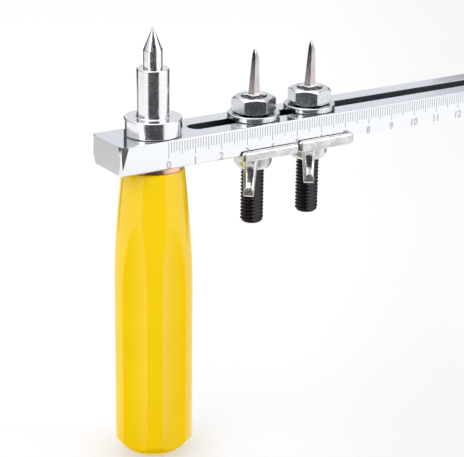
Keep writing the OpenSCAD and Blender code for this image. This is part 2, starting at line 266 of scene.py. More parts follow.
def cast_metal(name, light, dark, roughness):
    """Die-cast zinc, tumbled: uneven warm grey with fine pits, and painted shade in its corners."""
    material, tree, shader, place = new_material(name)
    patches = add(tree, "ShaderNodeTexNoise", Vector=place, Scale=1 / (4 * MM), Detail=3.0)
    tint = add(tree, "ShaderNodeValToRGB", i0=patches.outputs["Fac"])
    tint.color_ramp.elements[0].position = 0.35
    tint.color_ramp.elements[0].color = colour(dark)
    tint.color_ramp.elements[1].position = 0.65
    tint.color_ramp.elements[1].color = colour(light)
    pits = add(tree, "ShaderNodeTexNoise", Vector=place, Scale=1 / (0.6 * MM), Detail=4.0)
    speck = add(tree, "ShaderNodeMapRange", Value=pits.outputs["Fac"], From_Min=0.3,
                From_Max=0.5, To_Min=0.7, To_Max=1.0)
    # Specks darken the pits, and painted shade darkens the corners
    shaded_tint = stained(tree, tint.outputs["Color"], speck.outputs["Result"], 0.12)
    spread = add(tree, "ShaderNodeMapRange", Value=pits.outputs["Fac"], From_Min=0.3,
                 From_Max=0.7, To_Min=roughness - 0.1, To_Max=roughness + 0.1)
    bump = add(tree, "ShaderNodeBump", Strength=0.4, Distance=0.06 * MM,
               Height=pits.outputs["Fac"])
    shader.inputs["Metallic"].default_value = 1.0
    tree.links.new(shaded_tint, shader.inputs["Base Color"])
    tree.links.new(spread.outputs["Result"], shader.inputs["Roughness"])
    tree.links.new(bump.outputs["Normal"], shader.inputs["Normal"])
    return material


def ink(name, dark, light):
    """Grey enamel rubbed into the etched scale: matt and a little uneven."""
    material, tree, shader, place = new_material(name)
    noise = add(tree, "ShaderNodeTexNoise", Vector=place, Scale=1 / (2 * MM), Detail=2.0)
    tint = add(tree, "ShaderNodeValToRGB", i0=noise.outputs["Fac"])
    tint.color_ramp.elements[0].color = colour(dark)
    tint.color_ramp.elements[1].color = colour(light)
    tree.links.new(tint.outputs["Color"], shader.inputs["Base Color"])
    shader.inputs["Roughness"].default_value = 0.6
    return material


# Real buffing and grinding marks are too fine to show, so streaks are drawn several times wider

# Chrome on turned and buffed steel: a bright mirror with a faint grain, and painted shade in its
# corners
CHROME = metal("bright_chrome", "#eeeeef", roughness=0.17, streak=0.55 * MM, wear=0.12,
               ripple=0.05, grain=0.08)
# Chrome on a drawn bar, buffed lengthways: a clear mirror with long, fine streaks
BAR_CHROME = metal("satin_chrome", "#e7e9ec", roughness=0.13, streak=0.3 * MM, wear=0.04,
                   ripple=0.03, stretch=(0.05, 1, 1))
# Steel faced on a lathe and left dull: pale, with hardly a reflection
FACED_STEEL = metal("faced_steel", "#e4e4e3", roughness=0.5, streak=0.3 * MM, wear=0.08,
                    ripple=0.1)
# Steel as the milling cutter leaves it: dull and streaked along the cut, its colour darkened as
# painted shade for the inside of the slot
MILLED_STEEL_IN_SHADE = metal("milled_steel_in_painted_shade", "#5c6066", roughness=0.45, streak=0.3 * MM, wear=0.1,
                     ripple=0.1, stretch=(0.1, 1, 1))
# Bright zinc plate on pressed steel: silvery and lightly frosted, with painted shade in its corners
ZINC = metal("zinc_plate", "#e1e4e6", roughness=0.2, streak=0.5 * MM, wear=0.08, ripple=0.35,
             grain=0.28)
# Tool steel, ground up and down the blade: a warm grey shine with upright scratches, and painted
# shade in its corners
KNIFE_STEEL = metal("ground_tool_steel", "#d0c7c5", roughness=0.14, streak=0.25 * MM, wear=0.05,
                    ripple=0.06, stretch=(1, 1, 0.08), grain=0.2)
# Black oxide on cut thread: nearly black, with a low, oily sheen
BLACK_STEEL = metal("black_oxide_steel", "#454146", roughness=0.42, streak=0.8 * MM, wear=0.1,
                    ripple=0.1)
# Die-cast zinc, tumbled: warm grey patches and pits, with painted shade in its corners
CAST_ZINC = cast_metal("tumbled_cast_zinc", "#e8e8e5", "#cbcbc8", roughness=0.36)
# The same casting where fingers and tumbling have rubbed it: smooth and bright
RUBBED_ZINC = metal("rubbed_cast_zinc", "#dfdfdb", roughness=0.14, streak=0.7 * MM, wear=0.05,
                    ripple=0.1)
# Soft copper, stamped from sheet: pinkish, with a worn shine
COPPER = metal("stamped_copper", "#f0c2a2", roughness=0.26, streak=0.8 * MM, wear=0.08,
               ripple=0.05)
# Turned brass: a soft yellow shine
BRASS = metal("turned_brass", "#c9a54e", roughness=0.3, streak=0.4 * MM, wear=0.08,
              ripple=0.05, stretch=(1, 1, 0.2))
YELLOW = yellow_plastic()
INK = ink("scale_enamel", "#8c8c91", "#aaaaaf")
PALE_INK = ink("numeral_enamel", "#a9a9ad", "#bfbfc3")


# Modelling helpers

LATHE_STEPS = 96
MERGE = 0.001 * MM
# A face looks in a direction when at least this share of its normal lies along it
FACING = 0.9


def begin():
    """Leave edit mode with nothing selected, ready for a new primitive."""
    if bpy.context.object and bpy.context.mode != "OBJECT":
        bpy.ops.object.mode_set(mode="OBJECT")
    bpy.ops.object.select_all(action="DESELECT")


def only(piece):
    """Make one object the whole selection."""
    begin()
    piece.select_set(True)
    bpy.context.view_layer.objects.active = piece


def outline(points, place=(0, 0, 0)):
    """Draw a line of (across, up) points in an upright plane, one vertex after another."""
    begin()
    bpy.ops.mesh.primitive_plane_add(size=MM, location=place)
    piece = bpy.context.object
    bpy.ops.object.mode_set(mode="EDIT")
    bpy.ops.mesh.select_mode(type="VERT")
    bpy.ops.mesh.select_all(action="SELECT")
    bpy.ops.mesh.merge(type="CENTER")
    bpy.ops.transform.translate(value=(points[0][0], 0, points[0][1]))
    for (x0, z0), (x1, z1) in zip(points, points[1:]):
        bpy.ops.mesh.extrude_vertices_move(
            TRANSFORM_OT_translate={"value": (x1 - x0, 0, z1 - z0)})
    return piece


def lathe(points, place=(0, 0, 0), steps=LATHE_STEPS):
    """Spin an outline of (radius, height) points round an upright axis through its place."""
    piece = outline(points, place)
    bpy.ops.mesh.select_all(action="SELECT")
    bpy.ops.mesh.spin(steps=steps, angle=2 * math.pi, center=place, axis=(0, 0, 1))
    bpy.ops.mesh.select_all(action="SELECT")
    bpy.ops.mesh.remove_doubles(threshold=MERGE / 2)
    bpy.ops.mesh.normals_make_consistent(inside=False)
    only(piece)
    return piece


def block(low, high):
    """A cuboid between two corners."""
    begin()
    low, high = Vector(low), Vector(high)
    bpy.ops.mesh.primitive_cube_add(size=1, location=(low + high) / 2, scale=high - low)
    piece = bpy.context.object
    bpy.ops.object.transform_apply(location=False, rotation=False, scale=True)
    return piece


def modify(piece, kind, **settings):
    """Add a modifier and apply it."""
    only(piece)
    modifier = piece.modifiers.new(kind.lower(), kind)
    for key, value in settings.items():
        setattr(modifier, key, value)
    bpy.ops.object.modifier_apply(modifier=modifier.name)


def carve(piece, tool, operation="DIFFERENCE"):
    """Cut one solid with another, and drop the tool."""
    modify(piece, "BOOLEAN", object=tool, operation=operation, solver="EXACT")
    bpy.data.objects.remove(tool)


def soften(piece, width, segments=3, angle=30):
    """Round the edges that are sharper than an angle."""
    modify(piece, "BEVEL", width=width, segments=segments, limit_method="ANGLE",
           angle_limit=math.radians(angle), use_clamp_overlap=True)


def pick_edges(piece, wanted):
    """In edit mode, select the edges whose two ends pass a test."""
    only(piece)
    bpy.ops.object.mode_set(mode="EDIT")
    bpy.ops.mesh.select_mode(type="EDGE")
    bpy.ops.mesh.select_all(action="DESELECT")
    bpy.ops.object.mode_set(mode="OBJECT")
    points = [piece.matrix_world @ v.co for v in piece.data.vertices]
    for edge in piece.data.edges:
        edge.select = wanted(points[edge.vertices[0]], points[edge.vertices[1]])
    bpy.ops.object.mode_set(mode="EDIT")


def pick_faces(piece, wanted):
    """In edit mode, select the faces that pass a test."""
    only(piece)
    bpy.ops.object.mode_set(mode="EDIT")
    bpy.ops.mesh.select_mode(type="FACE")
    bpy.ops.mesh.select_all(action="DESELECT")
    bpy.ops.object.mode_set(mode="OBJECT")
    for face in piece.data.polygons:
        face.select = wanted(face)
    bpy.ops.object.mode_set(mode="EDIT")


def turn(piece, angle):
    """Turn a piece about the upright axis through its own origin."""
    piece.rotation_euler = (0, 0, angle)


def hand_over(piece, name, body, material, slot, *nodes, smooth=30, second=None, where=None):
    """Apply the finished mesh's transforms, shade it, give it its finish, ride it on its body, and
    hide the solids it stands for.

    Faces that pass the test take the second finish.
    """
    only(piece)
    bpy.ops.object.transform_apply(location=True, rotation=True, scale=True)
    bpy.ops.object.shade_smooth_by_angle(angle=math.radians(smooth))
    modify(piece, "WEIGHTED_NORMAL", keep_sharp=True)
    piece.name = name
    piece.data.name = name
    piece.data.materials.clear()
    piece.data.materials.append(material)
    if second:
        piece.data.materials.append(second)
        for face in piece.data.polygons:
            face.material_index = 1 if where(face) else 0
    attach(piece, body)
    if nodes:
        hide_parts(*nodes)


def thread_rod(place, low, high, crest, depth):
    """A right-hand thread wound about an upright axis, closed at both ends."""
    core = crest - depth
    flat = PITCH / 16
    piece = outline([(core, flat), (crest, PITCH / 2 - flat), (crest, PITCH / 2 + flat),
                     (core, PITCH - flat), (core, PITCH + flat)], (place[0], place[1], low))
    only(piece)
    turns = math.ceil((high - low) / PITCH)
    modify(piece, "SCREW", axis="Z", angle=2 * math.pi, screw_offset=PITCH, iterations=turns,
           steps=THREAD_STEPS, render_steps=THREAD_STEPS, use_merge_vertices=True,
           merge_threshold=MERGE, use_normal_calculate=True)
    bpy.ops.object.mode_set(mode="EDIT")
    bpy.ops.mesh.select_all(action="SELECT")
    bpy.ops.mesh.remove_doubles(threshold=MERGE)
    bpy.ops.mesh.fill_holes(sides=0)
    bpy.ops.mesh.select_all(action="SELECT")
    bpy.ops.mesh.normals_make_consistent(inside=False)
    only(piece)
    return piece


# Handle

def grip_radius(z):
    """The grip's radius before its flutes are cut, at a height above its foot."""
    full = grip_high.x
    taper_base = grip_high.z - GRIP_TAPER
    if z < GRIP_DOME:
        centre = (full ** 2 - GRIP_FOOT_R ** 2 + GRIP_DOME ** 2) / (2 * GRIP_DOME)
        ball = math.hypot(GRIP_FOOT_R, centre)
        return min(full, math.sqrt(max(ball ** 2 - (z - centre) ** 2, 0)))
    rise = max(z - taper_base, 0)
    rate = (full - GRIP_NECK_R) / (GRIP_BLEND * (2 * GRIP_TAPER - GRIP_BLEND))
    fall = rise ** 2 if rise < GRIP_BLEND else GRIP_BLEND * (2 * rise - GRIP_BLEND)
    return full - rate * fall


def flute_radius(angle):
    """Distance from the grip's axis to the nearest flute's hollow in a direction."""
    spacing = 2 * math.pi / FLUTES
    off = (angle - FLUTE_TURN + math.pi / 2 + spacing / 2) % spacing - spacing / 2
    centre = grip_high.x - FLUTE_DEPTH + FLUTE_R
    reach = FLUTE_R ** 2 - (centre * math.sin(off)) ** 2
    return centre * math.cos(off) - math.sqrt(reach) if reach > 0 else 1.0


def make_grip():
    """The yellow grip: a spun blank whose surface is drawn in along its flutes."""
    top = grip_high.z
    body = top - GRIP_EDGE - GRIP_DOME
    rows = [GRIP_DOME * i / DOME_ROWS for i in range(DOME_ROWS + 1)]
    rows += [GRIP_DOME + body * i / BODY_ROWS for i in range(1, BODY_ROWS + 1)]
    points = [(0, 0)] + [(grip_radius(z), z) for z in rows]
    # One point part of the way makes the neck's edge round
    part = 0.3 * GRIP_EDGE
    points += [(GRIP_NECK_R - part, top - part), (GRIP_NECK_R - GRIP_EDGE, top), (0, top)]
    piece = lathe(points, steps=GRIP_STEPS)
    foot = 0.9 * GRIP_FOOT_R
    for vertex in piece.data.vertices:
        radius = math.hypot(vertex.co.x, vertex.co.y)
        hollow = flute_radius(math.atan2(vertex.co.y, vertex.co.x))
        if radius > foot:
            gap = max(FLUTE_SOFTNESS - abs(radius - hollow), 0) / FLUTE_SOFTNESS
            drawn = min(radius, hollow) - gap ** 2 * FLUTE_SOFTNESS / 4
            vertex.co.x *= drawn / radius
            vertex.co.y *= drawn / radius
    hand_over(piece, "grip", "handle", YELLOW, "yellow_plastic", "handle_grip")


def make_spindle():
    """Flanged post, turned in one piece with its journal and shank."""
    base, top = bar_high.z + BAR_PLAY, spindle_high.z
    piece = lathe([
        (0, spindle_low.z), (SHANK_R, spindle_low.z), (SHANK_R, grip_high.z),
        (JOURNAL_R, grip_high.z), (JOURNAL_R, base), (FLANGE_R, base),
        (FLANGE_R, base + FLANGE_H), (POST_R, base + FLANGE_H), (POST_R, top), (0, top)])
    soften(piece, TURNED_EDGE)
    hand_over(piece, "spindle_post", "handle", CHROME, "chrome", "spindle")


def make_centre_point():
    """Pin pressed into the post, turned to a point."""
    shoulder = spindle_high.z
    piece = lathe([
        (0, point_low.z), (POINT_ROOT_R, point_low.z), (POINT_ROOT_R, shoulder),
        (POINT_R, shoulder), (POINT_R, shoulder + POINT_STRAIGHT),
        (POINT_TIP_R, point_high.z - POINT_TIP_H), (0, point_high.z)])
    soften(piece, POINT_EDGE, segments=2, angle=15)
    hand_over(piece, "centre_point_pin", "handle", CHROME, "chrome", "centre_point")


def make_thrust_washer():
    """Soft copper washer with stamped, slightly rounded edges."""
    hole = JOURNAL_R + THRUST_PLAY
    piece = lathe([
        (hole, thrust_low.z), (thrust_high.x, thrust_low.z), (thrust_high.x, thrust_high.z),
        (hole, thrust_high.z), (hole, thrust_low.z)])
    soften(piece, THRUST_EDGE)
    hand_over(piece, "copper_washer", "handle", COPPER, "copper", "thrust_washer")


def finish_bush():
    """The brass bush inside the grip keeps its solid."""
    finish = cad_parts["handle_bush"].data.materials
    finish.clear()
    finish.append(BRASS)


# Bar

def slot_cutter():
    """The slot's shape: round at both ends and flared where it meets the bar's faces."""
    low = Vector((SLOT_NEAR, -SLOT_W / 2, bar_low.z + SLOT_EDGE))
    high = Vector((bar_high.x - SLOT_FAR, SLOT_W / 2, bar_high.z - SLOT_EDGE))
    piece = block(low, high)
    pick_edges(piece, lambda a, b: abs(a.z - b.z) > SLOT_W / 2)
    # A hair under half the width leaves a sliver of flat, so that the rounds don't collide
    bpy.ops.mesh.bevel(offset=0.999 * SLOT_W / 2, segments=20, affect="EDGES")
    middle = (low + high) / 2
    size = high - low
    flare = (1 + 2 * SLOT_EDGE / size.x, 1 + 2 * SLOT_EDGE / size.y, 1)
    for side in (1, -1):
        pick_faces(piece, lambda face: face.normal.z * side > FACING)
        bpy.ops.mesh.extrude_region_move(
            TRANSFORM_OT_translate={"value": (0, 0, side * SLOT_EDGE)})
        centre = middle + Vector((0, 0, side * size.z))
        bpy.ops.transform.resize(value=flare, center_override=centre)
        bpy.ops.mesh.extrude_region_move(TRANSFORM_OT_translate={"value": (0, 0, side * MM)})
    only(piece)
    return piece


def wear_corner(bar):
    """Buffing has taken the near front corner off, more at its top than at its foot."""
    tall = bar_high.z - bar_low.z
    back = (math.hypot(bar_low.y, tall / 2) - END_FACE_R) * math.tan(END_ANGLE)
    corner = Vector((bar_low.x + back, bar_low.y, bar_high.z))
    facing = Vector((math.cos(WORN_TURN), math.sin(WORN_TURN), 0))
    only(bar)
    bpy.ops.object.mode_set(mode="EDIT")
    bpy.ops.mesh.select_all(action="SELECT")
    bpy.ops.mesh.bisect(plane_co=corner - facing * WORN_TOP,
                        plane_no=facing + Vector((0, 0, (WORN_TOP - WORN_FOOT) / tall)),
                        use_fill=True, clear_outer=True)
    only(bar)


def make_bar():
    """Chromed flat bar: edges broken, ends faced and turned back, slot milled through."""
    piece = block(bar_low, bar_high)
    pick_edges(piece, lambda a, b: abs(a.x - b.x) > bar_length / 2)
    bpy.ops.mesh.bevel(offset=BAR_EDGE, segments=3, affect="EDGES")
    corner = math.hypot(bar_high.y, (bar_high.z - bar_low.z) / 2) + MM
    fall = (corner - END_FACE_R) * math.tan(END_ANGLE)
    ends = lathe([(0, 0), (END_FACE_R, 0), (corner, fall), (corner, bar_length - fall),
                  (END_FACE_R, bar_length), (0, bar_length)])
    ends.rotation_euler = (0, math.pi / 2, 0)
    ends.location = (bar_low.x, 0, bar_middle)
    carve(piece, ends, "INTERSECT")
    wear_corner(piece)
    carve(piece, slot_cutter())
    bore_r = JOURNAL_R + BORE_PLAY
    carve(piece, lathe([(0, bar_low.z - MM), (bore_r, bar_low.z - MM), (bore_r, bar_high.z + MM),
                        (0, bar_high.z + MM)]))
    # The ends' flat faces look along the bar, and their turned-back edges do not
    square_on = 0.98
    hand_over(piece, "slotted_bar", "bar", BAR_CHROME, "bar_chrome", "beam",
              smooth=12, second=FACED_STEEL, where=lambda face: abs(face.normal.x) > square_on)
    # The slot's walls, whose faces hardly look up or down, take a third finish, darkened as painted
    # shade
    upright = 0.3
    slot_low, slot_high = SLOT_NEAR - SLOT_EDGE, bar_high.x - SLOT_FAR + SLOT_EDGE
    piece.data.materials.append(MILLED_STEEL_IN_SHADE)
    for face in piece.data.polygons:
        inside = slot_low < face.center.x < slot_high and abs(face.center.y) < SLOT_W
        if inside and abs(face.normal.z) < upright:
            face.material_index = 2


def make_scale():
    """Millimetre scale on the bar's front face: a centimetre of marks, repeated along it."""
    top = bar_high.z - TICK_TOP
    back, front = bar_low.y + PRINT_SUNK, bar_low.y - PRINT_PROUD

    def mark(x, length):
        return block((x - TICK_W / 2, front, top - length), (x + TICK_W / 2, back, top))

    long, middle, short = TICK_LENGTHS
    marks = [mark(i * MM, long if i == 0 else middle if i == 5 else short) for i in range(10)]
    only(marks[0])
    for piece in marks[1:]:
        piece.select_set(True)
    bpy.ops.object.join()
    ruler = bpy.context.object
    bpy.ops.object.transform_apply(location=True, rotation=True, scale=True)
    modify(ruler, "ARRAY", count=SCALE_CM, use_relative_offset=False, use_constant_offset=True,
           constant_offset_displace=(10 * MM, 0, 0))
    last = mark(SCALE_CM * 10 * MM, long)
    only(ruler)
    last.select_set(True)
    bpy.ops.object.join()
    hand_over(ruler, "scale_marks", "bar", INK, "bar_chrome")
    for number in range(SCALE_CM + 1):
        begin()
        bpy.ops.object.text_add(location=(number * 10 * MM, front + PRINT_SUNK / 2,
                                          bar_low.z + NUMERAL_RISE),
                                rotation=(math.pi / 2, 0, 0))
        numeral = bpy.context.object
        numeral.data.body = str(number)
        numeral.data.align_x = "CENTER"
        numeral.data.size = NUMERAL_H / NUMERAL_CAP
        numeral.data.extrude = PRINT_SUNK / 2
        numeral.data.offset = NUMERAL_BOLD
        numeral.data.resolution_u = NUMERAL_CURVES
        bpy.ops.object.convert(target="MESH")
        hand_over(bpy.context.object, f"numeral_{number}", "bar", PALE_INK, "bar_chrome")


# Knife holders

def make_stud(index, x, low, high):
    """Black stud: wound thread with two flats, its lower end chamfered."""
    piece = thread_rod((x, 0), low.z - 2 * PITCH, high.z + PITCH, STUD_R, THREAD_DEPTH)
    carve(piece, block((x - 2 * STUD_R, low.y, low.z), (x + 2 * STUD_R, high.y, high.z)),
          "INTERSECT")
    tall = high.z - low.z
    cone = lathe([(0, low.z - MM), (STUD_R - STUD_EDGE - MM, low.z - MM),
                  (STUD_R - STUD_EDGE + tall, low.z + tall), (0, low.z + tall)], (x, 0, 0))
    carve(piece, cone, "INTERSECT")
    hand_over(piece, f"threaded_stud_{index}", f"holder_{index}", BLACK_STEEL, "black_steel",
              f"stud_{index}")


def make_knife(index, x, low, high, waist):
    """Square tool steel, ground back on one side and rounded to a tip."""
    half = KNIFE_W / math.sqrt(2)
    stations = [(low.z, 0, 1), (waist, 0, 1)]
    tip_base = high.z - KNIFE_TIP
    for t in BLADE_STATIONS:
        stations.append((waist + (tip_base - waist) * t, KNIFE_SET * t, 1 - KNIFE_TAPER * t))
    for t in TIP_STATIONS:
        stations.append((tip_base + KNIFE_TIP * t, KNIFE_SET * (1 - t),
                         (1 - KNIFE_TAPER) * math.sqrt(1 - t)))
    begin()
    bpy.ops.mesh.primitive_circle_add(vertices=4, radius=half, fill_type="NGON",
                                      location=(x, 0, low.z))
    piece = bpy.context.object
    bpy.ops.object.mode_set(mode="EDIT")
    bpy.ops.mesh.select_all(action="SELECT")
    for (z0, s0, w0), (z1, s1, w1) in zip(stations, stations[1:]):
        bpy.ops.mesh.extrude_region_move(
            TRANSFORM_OT_translate={"value": ((s1 - s0) * half, 0, z1 - z0)})
        if w1 != w0:
            bpy.ops.transform.resize(value=(w1 / w0, w1 / w0, 1),
                                     center_override=(x + s1 * half, 0, z1))
    bpy.ops.mesh.select_all(action="SELECT")
    bpy.ops.mesh.normals_make_consistent(inside=False)
    soften(piece, KNIFE_EDGE, angle=40)
    turn(piece, KNIFE_TURN)
    hand_over(piece, f"cutting_knife_{index}", f"holder_{index}", KNIFE_STEEL, "ground_steel",
              f"knife_{index}")


def make_washer(index, x, low, high):
    """Stamped washer: its edges are rolled over by the plating and the punch."""
    radius, seat = (high.x - low.x) / 2, low.z + SEAT_GAP
    piece = lathe([(HOLE_R, seat), (radius, seat), (radius, high.z), (HOLE_R, high.z),
                   (HOLE_R, seat)], (x, 0, 0))
    soften(piece, WASHER_EDGE)
    hand_over(piece, f"plain_washer_{index}", f"clamp_{index}", ZINC, "zinc_plate",
              f"washer_{index}")


def make_nut(index, x, low, high, angle):
    """Hexagon nut, chamfered on both faces, its bore countersunk."""
    half_side = math.pi / 6
    corner = NUT_FLATS / 2 / math.cos(half_side)
    begin()
    bpy.ops.mesh.primitive_cylinder_add(vertices=6, radius=corner, depth=high.z - low.z,
                                        location=(x, 0, (low.z + high.z) / 2))
    piece = bpy.context.object
    outside = corner + MM
    fall = (outside - NUT_FACE_R) * math.tan(NUT_CHAMFER)
    cone = lathe([(0, low.z), (NUT_FACE_R, low.z), (outside, low.z + fall),
                  (outside, high.z - fall), (NUT_FACE_R, high.z), (0, high.z)], (x, 0, 0),
                 NUT_STEPS)
    carve(piece, cone, "INTERSECT")
    bore = lathe([(0, low.z - MM), (NUT_BORE + NUT_SINK + MM, low.z - MM),
                  (NUT_BORE, low.z + NUT_SINK), (NUT_BORE, high.z - NUT_SINK),
                  (NUT_BORE + NUT_SINK + MM, high.z + MM), (0, high.z + MM)], (x, 0, 0))
    carve(piece, bore)
    soften(piece, NUT_EDGE, angle=25)
    turn(piece, angle - half_side)
    hand_over(piece, f"hexagon_nut_{index}", f"nut_{index}", ZINC, "zinc_plate",
              f"hex_nut_{index}")


def make_shoe(index, x, low, high):
    """Cast shoe: a plate under the bar with a lip up each side, rounded all over."""
    piece = block(low, high)
    soften(piece, SHOE_ROUND, segments=6)
    inner = bar_high.y + LIP_GAP
    seat = bar_low.z - SEAT_GAP
    channel = block((low.x - MM, -inner, seat), (high.x + MM, inner, high.z))
    pick_faces(channel, lambda face: face.normal.z > FACING)
    bpy.ops.transform.resize(value=(1, 1 + LIP_FLARE / inner, 1), center_override=(x, 0, high.z))
    bpy.ops.mesh.extrude_region_move(TRANSFORM_OT_translate={"value": (0, 0, MM)})
    carve(piece, channel)
    carve(piece, lathe([(0, low.z - MM), (HOLE_R, low.z - MM), (HOLE_R, high.z + MM),
                        (0, high.z + MM)], (x, 0, 0)))
    hand_over(piece, f"cast_shoe_{index}", f"guide_{index}", CAST_ZINC, "cast_zinc",
              f"guide_shoe_{index}", smooth=40)


def wing_points(height):
    """One wing's outline beside the hub: distance from the axis, height below the shoe."""
    flare, fall = WING_REACH - WING_START, height - WING_TIP
    arc = (fall ** 2 + flare ** 2) / (2 * flare)
    inside = HUB_END_R - WING_OVERLAP
    points = [(inside, 0)]
    for i in range(WING_STEPS + 1):
        z = fall * i / WING_STEPS
        points.append((WING_START + arc - math.sqrt(arc ** 2 - z ** 2), -z))
    points += [(WING_REACH, WING_EDGE - height), (WING_REACH - WING_EDGE, -height),
               (WING_REACH - WING_TIP + WING_EDGE, -height),
               (WING_REACH - WING_TIP, WING_EDGE - height),
               (HUB_END_R, -HUB_H), (inside, -HUB_H)]
    return points


def make_wing(x, top, height):
    """One flared wing, its outer edge rounded over down to the flat land at its tip."""
    wing = outline(wing_points(height), (x, 0, top))
    bpy.ops.mesh.select_all(action="SELECT")
    bpy.ops.mesh.edge_face_add()
    bpy.ops.transform.translate(value=(0, -WING_ROOT_T / 2, 0))
    bpy.ops.mesh.extrude_region_move(TRANSFORM_OT_translate={"value": (0, WING_ROOT_T, 0)})
    bpy.ops.mesh.select_all(action="SELECT")
    bpy.ops.mesh.normals_make_consistent(inside=False)
    only(wing)
    for vertex in wing.data.vertices:
        slim = WING_ROOT_T + (WING_TIP_T - WING_ROOT_T) * -vertex.co.z / height
        vertex.co.y *= slim / WING_ROOT_T
    hair = 0.1 * MM
    edge, land = x + WING_START - hair, top - height + WING_TIP - hair
    pick_edges(wing, lambda a, b: min(a.x, b.x) > edge and min(a.z, b.z) > land
               and abs(a.z - b.z) > hair)
    bpy.ops.mesh.bevel(offset=WING_ROUND, segments=6, affect="EDGES", clamp_overlap=False)
    only(wing)
    return wing


def make_wing_nut(index, x, low, high, angle):
    """Cast wing nut: a round hub and two flared wings, run together by the casting."""
    top, height = high.z, high.z - low.z
    side = HUB_R - HUB_DRAFT
    hub = [(0, top - HUB_H)]
    for i in range(HUB_STEPS + 1):
        a = math.pi / 2 * i / HUB_STEPS
        hub.append((HUB_END_R + (side - HUB_END_R) * math.sin(a),
                    top - HUB_H + HUB_ROUND * (1 - math.cos(a))))
    piece = lathe(hub + [(HUB_R, top), (0, top)], (x, 0, 0))
    for half_turn in (0, math.pi):
        wing = make_wing(x, top, height)
        turn(wing, angle + half_turn)
        carve(piece, wing, "UNION")
    modify(piece, "REMESH", mode="VOXEL", voxel_size=CAST_VOXEL)
    modify(piece, "SMOOTH", factor=0.5, iterations=CAST_SMOOTHING)
    carve(piece, lathe([(0, low.z - MM), (NUT_BORE, low.z - MM), (NUT_BORE, top + MM),
                        (0, top + MM)], (x, 0, 0)))
    reach = Vector((math.cos(angle), math.sin(angle)))

    def rubbed(face):
        """The wings' rounded outer edges, which fingers and tumbling keep bright."""
        across = (face.center.xy - Vector((x, 0))).dot(reach)
        outward = face.normal.xy.dot(reach) * math.copysign(1, across)
        level = low.z + WING_TIP < face.center.z < top - RUBBED_TOP
        return abs(across) > HUB_R and level and outward > RUBBED_FACING

    hand_over(piece, f"cast_wing_nut_{index}", f"wing_{index}", CAST_ZINC, "cast_zinc",
              f"wing_nut_{index}", smooth=50, second=RUBBED_ZINC, where=rubbed)


def make_holder(index, nut_turn, wing_turn):
    """One knife holder from its knife down to its wing nut."""
    stud_low, stud_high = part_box(f"stud_{index}")
    x = (stud_low.x + stud_high.x) / 2
    nut_low, nut_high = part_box(f"hex_nut_{index}")
    make_stud(index, x, stud_low, stud_high)
    make_knife(index, x, *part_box(f"knife_{index}"), nut_high.z)
    make_washer(index, x, *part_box(f"washer_{index}"))
    make_nut(index, x, nut_low, nut_high, nut_turn)
    make_shoe(index, x, *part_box(f"guide_shoe_{index}"))
    make_wing_nut(index, x, *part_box(f"wing_nut_{index}"), wing_turn)


make_grip()
make_spindle()
make_centre_point()
make_thrust_washer()
finish_bush()
make_bar()
make_scale()
for holder_index, turns in HOLDERS.items():
    make_holder(holder_index, **turns)


# Camera: it looks at the point where the spindle's axis meets the bar's top face

PHOTO_W, PHOTO_H = 464, 457
FOCAL_PX = 1626.9
CAMERA_DISTANCE = 525.6 * MM
CAMERA_AZIMUTH = math.radians(-33.05)
CAMERA_ELEVATION = math.radians(19.85)
CAMERA_ROLL = math.radians(0.9)
TARGET_PX = (153.04, 133.33)
TARGET = Vector((0, 0, bar_high.z))
SENSOR_W = 36
CLIP_NEAR, CLIP_FAR = 0.05, 50


def make_camera():
    """Stand the camera so that the target falls on its pixel."""
    flat = math.cos(CAMERA_ELEVATION)
    back = Vector((flat * math.sin(CAMERA_AZIMUTH), -flat * math.cos(CAMERA_AZIMUTH),
                   math.sin(CAMERA_ELEVATION)))
    level = Vector((math.cos(CAMERA_AZIMUTH), math.sin(CAMERA_AZIMUTH), 0))
    upright = back.cross(level)
    right = math.cos(CAMERA_ROLL) * level + math.sin(CAMERA_ROLL) * upright
    up = math.cos(CAMERA_ROLL) * upright - math.sin(CAMERA_ROLL) * level
    across = (TARGET_PX[0] - PHOTO_W / 2) / FOCAL_PX * CAMERA_DISTANCE
    above = (PHOTO_H / 2 - TARGET_PX[1]) / FOCAL_PX * CAMERA_DISTANCE
    place = TARGET - across * right - above * up + CAMERA_DISTANCE * back
    begin()
    bpy.ops.object.camera_add()
    camera = bpy.context.object
    camera.matrix_world = Matrix((
        (right.x, up.x, back.x, place.x), (right.y, up.y, back.y, place.y),
        (right.z, up.z, back.z, place.z), (0, 0, 0, 1)))
    camera.data.sensor_width = SENSOR_W
    camera.data.lens = FOCAL_PX / PHOTO_W * SENSOR_W
    camera.data.clip_start = CLIP_NEAR
    camera.data.clip_end = CLIP_FAR
    bpy.context.scene.camera = camera


# Stage: strengths are as the camera or a mirror sees them, where 1 is white

FLOOR_SIZE = 8
FLOOR_GLOW = 0.7
FLOOR_MIRRORED = 1.2
WORLD_MIRRORED = 0.89
WORLD_LIGHT = 0.62
# The paper dims to the right, by bearing from the camera in turns, and close to the camera's foot
ASIDE_FROM, ASIDE_TO, ASIDE_LEVEL = 0.476, 0.496, 0.91
NEAR_FROM, NEAR_TO, NEAR_LEVEL = 0.5, 0.7, 0.955
# Round the handle's foot its glow is painted darker and warmer: a painted contact shadow, warmed as
# by the handle's yellow bounce light
FOOT_SHADOW_FROM, FOOT_SHADOW_TO = 6 * MM, 30 * MM

# Cards that only mirrors show: a profile of (distance, height) points, swept round the spindle's
# axis from one angle to another, in degrees to the right of the camera
CARD_LIFT = 0.5 * MM
CARD_STEPS = 24
